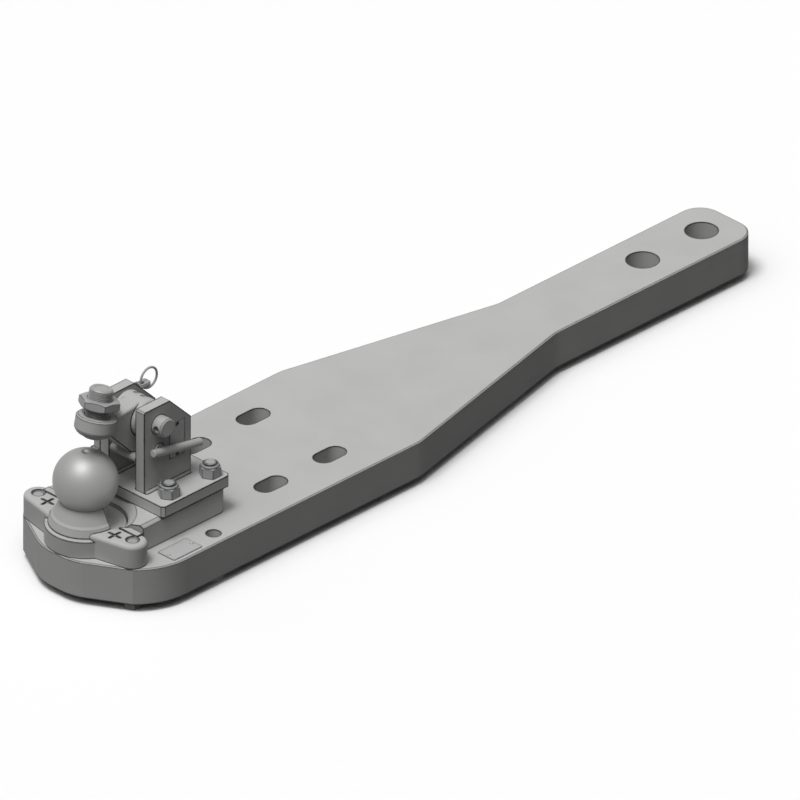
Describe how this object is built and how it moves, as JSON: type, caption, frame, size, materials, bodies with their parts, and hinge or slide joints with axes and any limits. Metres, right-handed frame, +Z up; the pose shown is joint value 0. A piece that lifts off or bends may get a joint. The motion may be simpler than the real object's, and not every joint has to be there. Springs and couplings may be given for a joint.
{
  "type": "hitch mounting plate",
  "caption": "Thick steel drawbar plate with mounting slots and pin holes, a flanged coupling ball and a swing-up hold-down arm with a turning lock.",
  "frame": {"origin": "centre of the mounting slots, on the underside of the plate", "axes": "+X along the plate to its narrow end, +Z up, the coupling ball at the -X end"},
  "size_m": [1.1445, 0.24, 0.2606],
  "materials": {
    "plate_paint": "smooth grey paint",
    "forged_steel": "grey paint on a forged skin",
    "bright_steel": "turned",
    "zinc_steel": "zinc plated",
    "nylon": "moulded",
    "bare_aluminium": "satin"
  },
  "bodies": {
    "mounting_plate": {"drawbar_plate": "plate_paint", "spacer_block": "plate_paint", "base_plate": "plate_paint", "right_cheek": "plate_paint", "left_cheek": "plate_paint", "weld_beads": "plate_paint", "lock_bearing": "plate_paint", "stop_bar": "plate_paint", "ball_flange": "forged_steel", "pivot_pin": "bright_steel", "flange_bolts": "zinc_steel", "base_bolts": "zinc_steel", "base_nuts": "zinc_steel", "detent_plate": "zinc_steel", "detent_screws": "zinc_steel", "nut_inserts": "nylon", "type_plate": "bare_aluminium", "type_plate_pins": "bare_aluminium"},
    "hold_down": {"hold_down_arm": "forged_steel"},
    "screw": {"pressure_screw": "bright_steel", "jam_nut": "zinc_steel"},
    "lock": {"lock_shaft": "bright_steel", "lock_circlip": "bright_steel", "lock_handle": "bright_steel"},
    "linch": {"linch_pin": "bright_steel"},
    "ring": {"pull_ring": "bright_steel"}
  },
  "joints": [
    {"name": "hold_down_hinge", "type": "hinge", "parent": "mounting_plate", "child": "hold_down", "pos_m": [-0.2125, 0, 0.188], "axis": [0, 1, 0], "range_deg": [0, 100]},
    {"name": "screw_slide", "type": "slide", "parent": "hold_down", "child": "screw", "axis": [0.2331, 0, 0.9725], "range_m": [-0.006, 0.008]},
    {"name": "lock_turn", "type": "hinge", "parent": "mounting_plate", "child": "lock", "pos_m": [-0.2125, 0, 0.153], "axis": [0, -1, 0], "range_deg": [0, 68]},
    {"name": "linch_pull", "type": "slide", "parent": "mounting_plate", "child": "linch", "axis": [1, 0, 0], "range_m": [0, 0.045]},
    {"name": "ring_swing", "type": "hinge", "parent": "linch", "child": "ring", "pos_m": [-0.16, 0.045, 0.188], "axis": [0, 0, 1], "range_deg": [-50, 90]}
  ]
}
